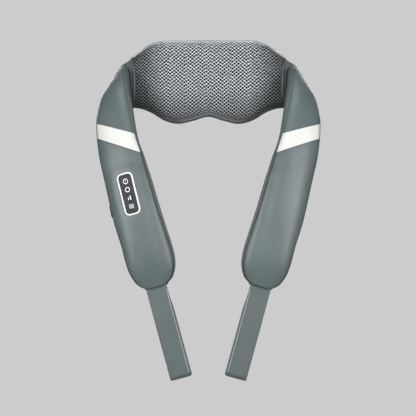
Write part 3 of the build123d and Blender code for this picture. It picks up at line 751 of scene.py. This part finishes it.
def face_table(inset):
    """Points of the pillow's front by column and by length up and down from mid height, and the
    lengths of its lower and upper seam."""
    table, reach = [], []
    for x in COLUMNS:
        front, _ = pillow_outline(x, inset)
        run = lengths_along(front)
        middle = run[np.argmin(np.abs(front[:, 1]))]
        table.append(points_at(front, run, LENGTHS + middle))
        reach.append((-middle, run[-1] - middle))
    return np.array(table), np.array(reach)


def on_face(table, x, h):
    """Points (x, y, z) on the face for arrays of x and length h."""
    cx = np.clip((x + PILLOW_END) / (2 * PILLOW_END) * (len(COLUMNS) - 1), 0, len(COLUMNS) - 1.001)
    ch = np.clip(h - LENGTHS[0], 0, len(LENGTHS) - 1.001)
    i, j = cx.astype(int), ch.astype(int)
    a, b = (cx - i)[..., None], (ch - j)[..., None]
    yz = (table[i, j] * (1 - a) * (1 - b) + table[i + 1, j] * a * (1 - b)
          + table[i, j + 1] * (1 - a) * b + table[i + 1, j + 1] * a * b)
    return np.concatenate([x[..., None], yz], -1)


# ------------------------ mesh face

BINDING, BINDING_END = 19.0, 7.0       # width of the leather roll on the top edge, and at its ends
BINDING_NARROWS = 72.0                 # distance from the middle where it starts to narrow
BINDING_LIFT, BINDING_LIP = 3.6, 0.3   # height of the roll, and of its edges
BINDING_FLOOR = 0.04                   # share of the height that is left at the ends
CELL_W, CELL_H = 5.86, 5.1             # diagonals of one diamond cell
HOLE = 0.78                            # size of a hole, as a share of its cell
HOLE_SIDES = 0.80                      # 1 makes a hole an oval, 0.71 a diamond
THREAD_DEPTH, LINING_DEPTH = 1.1, 1.7  # below the face
WELD_DISTANCE = 0.00004                # metres
outer_table, reach = face_table(0.0)
lower_table, _ = face_table(THREAD_DEPTH)
lining_table, lining_reach = face_table(LINING_DEPTH)


def binding_width(x):
    """Width of the leather roll, which narrows towards the ends of the pillow."""
    return BINDING - (BINDING - BINDING_END) * smooth_step(np.abs(x), BINDING_NARROWS, PILLOW_END - 2)


def cell_centres():
    """Centres (x, length) of the mesh cells between the lower seam and the leather roll."""
    last = int(2 * PILLOW_END / CELL_W) + 1
    columns, rows = range(-last, last + 1), range(-60, 61)
    centres = np.array([(c * CELL_W / 2, r * CELL_H / 2)
                        for c in columns for r in rows if (c + r) % 2 == 0])
    x, h = centres.T
    low, high = np.interp(x, COLUMNS, reach[:, 0]), np.interp(x, COLUMNS, reach[:, 1])
    inside = (h > low + 1) & (h < high - binding_width(x) + 1) & (np.abs(x) < PILLOW_END - 1)
    return centres[inside]


def mesh_face():
    """Knitted diamond mesh: every cell is a rounded hole with threads crossing at its corners."""
    centres = cell_centres()
    angle = np.arange(8) * math.pi / 4
    corners = np.stack([np.cos(angle) * CELL_W / 2, np.sin(angle) * CELL_H / 2], 1)
    diamond, hole = corners.copy(), corners * HOLE
    diamond[1::2] = (corners[0::2] + np.roll(corners, -2, 0)[0::2]) / 2
    hole[1::2] *= HOLE_SIDES
    rings = []
    # Rings of a cell: outline, its size, and its depth between the top and the bottom of the threads
    for outline, size, level in ((diamond, 1.0, 0.0), (hole, 1.16, 0.18), (hole, 1.0, 0.55),
                                 (hole, 1.05, 1.0)):
        spots = centres[:, None, :] + outline * size
        top = on_face(outer_table, spots[..., 0], spots[..., 1])
        deep = on_face(lower_table, spots[..., 0], spots[..., 1])
        rings.append(top * (1 - level) + deep * level)
    points = np.stack(rings, 1)                        # cell, ring, corner, xyz
    cell = grid_faces(4, 8, wrap=True)
    faces = (cell + 32 * np.arange(len(centres))[:, None, None]).reshape(-1, 4)
    mesh = add_mesh("pillow_mesh", points, faces, MATERIALS["mesh_thread"])
    weld = mesh.modifiers.new("weld", "WELD")
    weld.merge_threshold = WELD_DISTANCE
    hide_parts("pillow_mesh_cover")
    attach(mesh, "pillow")


def top_binding():
    """Padded leather roll that covers the top edge of the mesh."""
    x = np.linspace(-PILLOW_END, PILLOW_END, 150)
    t = np.linspace(0, 1, 22)
    high = np.interp(x, COLUMNS, reach[:, 1])
    xs = np.repeat(x[:, None], len(t), 1)
    hs = high[:, None] - binding_width(xs) + (binding_width(xs) - 0.2) * t
    top, deep = on_face(outer_table, xs, hs), on_face(lower_table, xs, hs)
    full = BINDING_FLOOR + (1 - BINDING_FLOOR) * smooth_step(PILLOW_END - np.abs(x), -2, 24)
    roll = np.sin(math.pi * np.clip(t * 0.93, 0, 1)) ** 0.75
    lift = BINDING_LIP + BINDING_LIFT * roll * full[:, None]
    rows = top + unit(top - deep) * lift[..., None]
    rows = np.concatenate([deep[:, :1], rows], 1)
    faces = grid_faces(*rows.shape[:2])[:, ::-1]
    # its paler leather paints the light falling on the top rim
    rim = add_mesh("pillow_top_rim", rows, faces, MATERIALS["painted_light_leather"])
    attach(rim, "pillow")


def mesh_lining():
    """Plain dark sheet behind the mesh, from seam to seam."""
    rows = []
    for x in np.linspace(-PILLOW_END + 0.5, PILLOW_END - 0.5, 110):
        low, high = (np.interp(x, COLUMNS, lining_reach[:, k]) for k in range(2))
        rows.append(on_face(lining_table, np.full(60, x), np.linspace(low, high, 60)))
    rows = np.array(rows)
    faces = grid_faces(*rows.shape[:2])[:, ::-1]
    lining = add_mesh("pillow_mesh_lining", rows, faces, MATERIALS["mesh_lining"])
    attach(lining, "pillow")


mesh_face()
top_binding()
mesh_lining()


# ------------------------ leather back of the pillow

BACK_MIDDLE = (45.0, 0.0)              # y and z that the leather back swells away from
BACK_PUFF, BACK_DRAWN_IN = 0.9, 0.6    # how far it swells, and how far its seams are drawn in
BACK_TUCK = 2.5                        # how far its edges turn in under the piping
END_CAP, END_SHRINK = 3.0, 0.22        # how far the pillow's ends turn in, and by what share
TOP_PIPING = (0.2, 1.3)                # height of the piping off the seam, and its radius
BOTTOM_PIPING = (0.3, 0.9)
PIPING_BACK, STITCHES_BACK = 1.0, 4.2  # how far they lie behind the seam


def pillow_back():
    """Leather back from the bottom seam round to the top seam, rounded in at both ends."""
    rows = []
    for x in np.linspace(-PILLOW_END, PILLOW_END, 170):
        rear = pillow_outline(x)[1]
        run = lengths_along(rear)
        points = points_at(rear, run, np.linspace(0, run[-1], 96))
        rows.append(np.insert(points, 0, x, axis=1))
    rows = np.array(rows)
    share = np.linspace(0, 1, rows.shape[1])
    from_seam = np.minimum(share, 1 - share) * 150
    outward = np.zeros_like(rows)
    outward[..., 1:] = unit(rows[..., 1:] - np.array(BACK_MIDDLE))
    puff = BACK_PUFF * np.sin(np.clip(from_seam / 14, 0, 1) * math.pi / 2) - BACK_DRAWN_IN
    rows = rows + outward * puff[None, :, None]
    tucked = rows[:, [0, -1]] - outward[:, [0, -1]] * BACK_TUCK
    rows = np.concatenate([tucked[:, :1], rows, tucked[:, 1:]], 1)

    caps = []
    for ring, way in ((rows[0], -1), (rows[-1], 1)):
        middle = ring.mean(0)
        cap = []
        for turn in np.array([0.35, 0.7, 1.0]) * math.pi / 2:
            step = middle + (ring - middle) * (1 - END_SHRINK * (1 - math.cos(turn)))
            step[:, 0] = ring[:, 0] + way * END_CAP * math.sin(turn)
            cap.append(step)
        caps.append(np.array(cap))
    rows = np.concatenate([caps[0][::-1], rows, caps[1]])
    back = add_mesh("pillow_back", rows, grid_faces(*rows.shape[:2]), MATERIALS["grey_leather"])
    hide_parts("pillow_rear_cover", "pillow_foam_surround")
    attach(back, "pillow")


def pillow_seams():
    """Piping between mesh and leather along the top and bottom, and the stitches beside it."""
    welt, seam = Parts(), Parts()
    for pick, sign, (height, radius) in ((0, -1, BOTTOM_PIPING), (-1, 1, TOP_PIPING)):
        line = []
        for x in np.linspace(-PILLOW_END - 1, PILLOW_END + 1, 200):
            rear = pillow_outline(np.clip(x, -PILLOW_END, PILLOW_END))[1]
            line.append([x, SEAM_Y, rear[pick, 1]])
        line = np.array(line)
        tube(welt, line + np.array([0, PIPING_BACK, height]), radius)
        row = line + np.array([0, STITCHES_BACK, 0.1 * sign])
        stitches(seam, row, np.tile([0.0, 0.0, sign], (len(row), 1)), lift=0.15)
    for piece in (welt.build("pillow_piping", MATERIALS["grey_leather"]),
                  seam.build("pillow_stitches", MATERIALS["sewing_thread"])):
        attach(piece, "pillow")


pillow_back()
pillow_seams()


# ------------------------ hand loops

STRAP_WIDTH, STRAP_DROP, STRAP_PLY, STRAP_GAP = 28.7, 131.0, 1.8, 10.0
STRAP_START = 1.6                      # below the arm's tip
STRAP_SEWN_IN = 5.0                    # length of both plies inside the arm
STRAP_THROAT = (3, 55)                 # the plies spread between these distances below the tip
STRAP_SKEW = 1.4                       # how far the rear ply drifts inwards
STRAP_LIP = 0.35                       # how far its rounded edges stand out
CORD_INSET, CORD_LIFT, CORD_RADIUS = 1.2, 0.25, 0.6
TIP_CENTRE, TIP_ACROSS = section_point(TIP), section_point(TIP, ACROSS)
TIP_OUT = unit(np.cross(TIP_ACROSS, [0, 0, 1]))
TIP_DOWN = np.cross(TIP_ACROSS, TIP_OUT)
TIP_DOWN = TIP_DOWN * -np.sign(TIP_DOWN[2])


def loop_line():
    """Middle line of the webbing, (down, out): from inside the arm down the front and back up."""
    end = STRAP_START + STRAP_DROP
    gap = (STRAP_GAP + STRAP_PLY) / 2
    shut = STRAP_PLY / 2 + 0.05
    down = np.linspace(-STRAP_SEWN_IN, end - gap, 70)
    front = np.stack([down, shut + (gap - shut) * smooth_step(down, *STRAP_THROAT)], 1)
    angle = np.linspace(math.pi / 2, -math.pi / 2, 24)[1:-1]
    turn = np.stack([end - gap + gap * np.cos(angle), gap * np.sin(angle)], 1)
    back = front[::-1] * np.array([1, -1])
    return np.concatenate([front, turn, back])


def strap_ring():
    """Closed outline of the webbing, (across, out), nine points on each face and two on its edges."""
    half = STRAP_WIDTH / 2
    w = np.linspace(-half, half, 9)
    swell = STRAP_PLY / 2 * (1 - 0.35 * (np.abs(w) / half) ** 8)
    face = list(zip(w, swell))
    back = [(a, -b) for a, b in reversed(face)]
    return face + [(half + STRAP_LIP, 0)] + back + [(-half - STRAP_LIP, 0)]


def hand_loop(side):
    """Strap folded into a loop, with stitches along its edges and a pale cord down its front that paints
    the highlight of its inner edge.
    """
    line, ring = loop_line(), strap_ring()
    ahead = unit(np.gradient(line, axis=0))
    normals = np.outer(-ahead[:, 1], TIP_DOWN) + np.outer(ahead[:, 0], TIP_OUT)
    rows = []
    for (down, out), normal in zip(line, normals):
        skew = STRAP_SKEW * smooth_step(-out, 0, 4) * smooth_step(down, 5, 40)
        centre = TIP_CENTRE + TIP_DOWN * down + TIP_OUT * out + TIP_ACROSS * skew
        rows.append([centre + TIP_ACROSS * w + normal * t for w, t in ring])
    rows = np.array(rows)
    flip = side == "right"
    faces = tube_faces(len(rows), len(ring))
    strap = add_mesh(f"{side}_loop_strap", rows, faces, MATERIALS["strap_leather"], flip)
    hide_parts(f"{side}_hand_loop", f"{side}_strap_tab")

    cord, seam = Parts(), Parts()
    front = slice(6, 70)               # from inside the arm to where the strap turns
    # Pale cord that paints the highlight along the front ply's inner edge
    inner_edge = rows[front, 8] - CORD_INSET * TIP_ACROSS
    tube(cord, inner_edge + CORD_LIFT * normals[front], CORD_RADIUS, sides=8)
    cord = cord.build(f"{side}_loop_highlight_cord", MATERIALS["painted_light_leather"], flip)
    for pick in (1, 7):
        stitches(seam, rows[8:-8, pick], normals[8:-8])
    seam = seam.build(f"{side}_loop_stitches", MATERIALS["sewing_thread"], flip)
    for piece in (strap, cord, seam):
        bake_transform(piece)


for side in SIDES:
    hand_loop(side)


# ------------------------ control panel pictograms

ICON_HEIGHT = 0.08                     # above a button's top


def button_top(node):
    """Centre of a button's top face."""
    points = np.array([v.co for v in frame["nodes"][node].data.vertices]) / MM
    heights = points @ PANEL_OUT
    top = points[heights > heights.max() - 0.05]
    middle = (top.min(0) + top.max(0)) / 2
    return middle + PANEL_OUT * (heights.max() - middle @ PANEL_OUT)


def on_panel(centre, flat):
    """Points in space of (x, y) points drawn on a button."""
    return centre + flat[:, :1] * PANEL_ACROSS + flat[:, 1:] * PANEL_UP + ICON_HEIGHT * PANEL_OUT


def stroke(parts, centre, line, width):
    """Flat painted line through (x, y) points on a button, with round ends."""
    line = np.asarray(line, float)
    ahead = unit(np.gradient(line, axis=0))
    side = np.stack([-ahead[:, 1], ahead[:, 0]], 1) * width / 2
    grid = np.stack([on_panel(centre, line + side), on_panel(centre, line - side)], 1)
    parts.add(grid, grid_faces(*grid.shape[:2]))
    for end, direction in ((line[0], -ahead[0]), (line[-1], ahead[-1])):
        turn = math.atan2(direction[1], direction[0]) + np.linspace(-math.pi / 2, math.pi / 2, 9)
        fan = end + np.stack([np.cos(turn), np.sin(turn)], 1) * width / 2
        points = on_panel(centre, np.concatenate([[end], fan]))
        parts.add(points, [[0, k + 1, k + 2] for k in range(8)])


def circle(radius):
    """Ring of points round a button's middle."""
    angle = np.radians(np.linspace(0, 360, 49))
    return radius * np.stack([np.cos(angle), np.sin(angle)], 1)


def power_strokes():
    """Lines and their widths: a ring, and a short bar up from its middle."""
    return [(circle(3.4), 0.85), ([(0, 0.0), (0, 1.7)], 0.7)]


def mode_strokes():
    """A plain ring."""
    return [(circle(3.1), 0.9)]


def intensity_strokes():
    """A short bar and a tall one."""
    return [([(-1.8, -2.0), (-1.8, 0.8)], 1.1), ([(1.5, -2.4), (1.5, 2.6)], 1.5)]


def heat_strokes():
    """Three rising waves."""
    y = np.linspace(-3, 3, 25)
    return [(np.stack([x + 0.6 * np.sin(y * 1.9), y], 1), 0.75) for x in (-2.5, 0, 2.5)]


for name, strokes in (("power", power_strokes()), ("massage_mode", mode_strokes()),
                      ("intensity", intensity_strokes()), ("heat", heat_strokes())):
    parts = Parts()
    for line, width in strokes:
        stroke(parts, button_top(f"{name}_button"), line, width)
    icon = parts.build(f"{name}_icon", MATERIALS["icon_white"])
    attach(icon, f"{name}_button")


# ------------------------ stage, light and camera

BACKGROUND = (0.604, 0.604, 0.604)
SKY = (0.93, 0.97, 1.0)
SKY_STRENGTH = (0.50, 0.02)            # from the front, and from behind
FLOOR = (0.42, 0.42, 0.42)
FLOOR_Z, FLOOR_RADIUS = -0.60, 500.0   # metres, millimetres
FLOOR_FADE = (0.12, 0.48)              # metres from its middle where it starts and ends to fade
CAMERA_DISTANCE, CAMERA_HEIGHT, CAMERA_SHIFT = 1.885, -0.1876, -0.001
LENS, SENSOR = 111.3, 36.0             # millimetres
LIGHT_TARGET = (0, 0, -0.17)
# Lights: name, place, size in metres, power in watts
LIGHTS = [
    ("left_softbox", (-1.6, -1.2, 0.0), (0.2, 1.4), 30),
    ("right_softbox", (1.6, -1.2, 0.0), (0.2, 1.4), 30),
    ("front_fill", (0, -2.4, 0.1), (1.4, 0.9), 22),
    ("overhead", (0, -0.35, 1.4), (1.0, 0.5), 8),
    ("rear", (0, 2.2, 0.6), (2.2, 1.6), 55),
]


def floor():
    """Pale round floor that fades out towards its rim."""
    tree, shader, place = new_material("pale_floor")
    feed(tree, shader.inputs["Base Color"], FLOOR)
    feed(tree, shader.inputs["Roughness"], 0.9)
    length = tree.nodes.new("ShaderNodeVectorMath")
    length.operation = "LENGTH"
    tree.links.new(place, length.inputs[0])
    feed(tree, shader.inputs["Alpha"], scaled(tree, length.outputs["Value"], 1, 0, *FLOOR_FADE))
    angle = np.linspace(0, 2 * math.pi, 64, endpoint=False)
    rim = FLOOR_RADIUS * np.stack([np.cos(angle), np.sin(angle), np.zeros(64)], 1)
    disc = add_mesh("floor", rim, [list(range(64))], MATERIALS["pale_floor"])
    disc.location.z = FLOOR_Z


def area_light(name, place, size, power):
    """Rectangular light that faces the object and isn't seen itself."""
    data = bpy.data.lights.new(name, "AREA")
    data.shape = "RECTANGLE"
    data.size, data.size_y = size
    data.energy = power
    lamp = bpy.data.objects.new(name, data)
    bpy.context.collection.objects.link(lamp)
    lamp.location = place
    lamp.rotation_euler = (Vector(LIGHT_TARGET) - Vector(place)).to_track_quat("-Z", "Y").to_euler()
    lamp.visible_camera = False


def world():
    """Grey backdrop for the camera, and a sky that is brighter on the camera's side."""
    backdrop = bpy.data.worlds.new("studio")
    bpy.context.scene.world = backdrop
    backdrop.use_nodes = True
    tree = backdrop.node_tree
    tree.nodes.clear()
    seen, lit = (tree.nodes.new("ShaderNodeBackground") for _ in range(2))
    feed(tree, seen.inputs["Color"], BACKGROUND)
    feed(tree, lit.inputs["Color"], SKY)
    axes = split_axes(tree, tree.nodes.new("ShaderNodeTexCoord").outputs["Generated"])
    feed(tree, lit.inputs["Strength"], scaled(tree, axes["Y"], *SKY_STRENGTH, -0.95, 0.1))
    path, mix = tree.nodes.new("ShaderNodeLightPath"), tree.nodes.new("ShaderNodeMixShader")
    chosen = (path.outputs["Is Camera Ray"], lit.outputs[0], seen.outputs[0])
    for socket, value in zip(mix.inputs, chosen):
        tree.links.new(value, socket)
    output = tree.nodes.new("ShaderNodeOutputWorld")
    tree.links.new(mix.outputs[0], output.inputs["Surface"])


def camera():
    """Level camera in front of the object."""
    data = bpy.data.cameras.new("camera")
    data.lens, data.sensor_width = LENS, SENSOR
    data.shift_x = CAMERA_SHIFT
    cam = bpy.data.objects.new("camera", data)
    bpy.context.collection.objects.link(cam)
    cam.location = (0, -CAMERA_DISTANCE, CAMERA_HEIGHT)
    cam.rotation_euler = (math.pi / 2, 0, 0)
    bpy.context.scene.camera = cam


floor()
world()
camera()
for light in LIGHTS:
    area_light(*light)
bpy.context.scene.view_settings.view_transform = "Standard"
bpy.context.scene.view_settings.look = "None"
